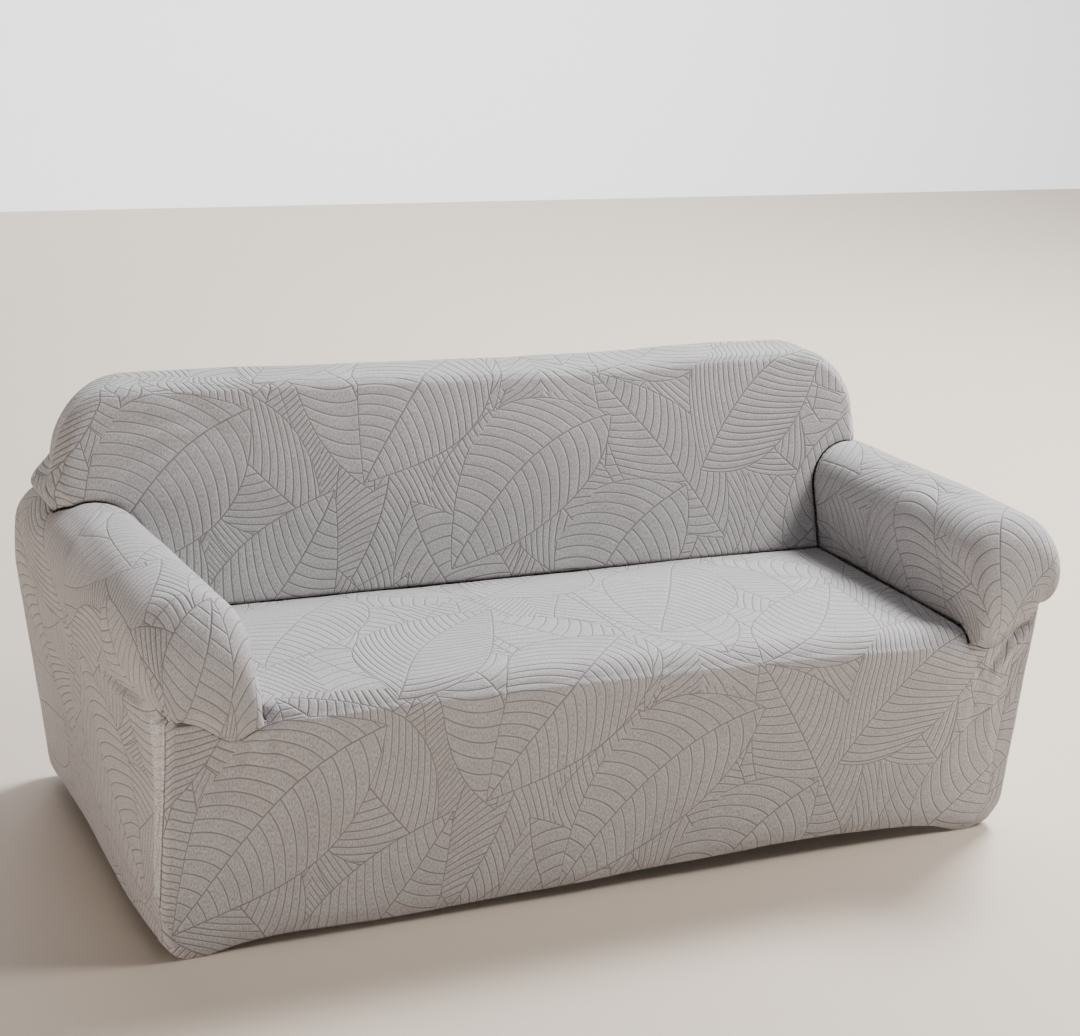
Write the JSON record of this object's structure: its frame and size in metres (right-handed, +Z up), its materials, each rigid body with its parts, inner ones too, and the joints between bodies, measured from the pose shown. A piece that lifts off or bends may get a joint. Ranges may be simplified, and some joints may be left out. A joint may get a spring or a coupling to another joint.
{
  "type": "sofa slipcover",
  "caption": "Fitted stretch jacquard slipcover for a small sofa with rolled arms, in the shape it takes when pulled on: hollow, and open at the hem",
  "frame": {"origin": "the middle of the cover's box in plan, at the level of the lowest point of its hem, which is the floor the sofa stands on", "axes": "+X to the right of a person who faces the sofa from the front, along the seat; +Y to the back; +Z up"},
  "size_m": [1.8306, 0.8468, 0.8057],
  "materials": {
    "stretch_jacquard": "matte"
  },
  "bodies": {
    "root": {"seat_panel": "stretch_jacquard", "arm_left": "stretch_jacquard", "arm_right": "stretch_jacquard", "back_panel": "stretch_jacquard", "rear_panel": "stretch_jacquard"}
  },
  "joints": []
}
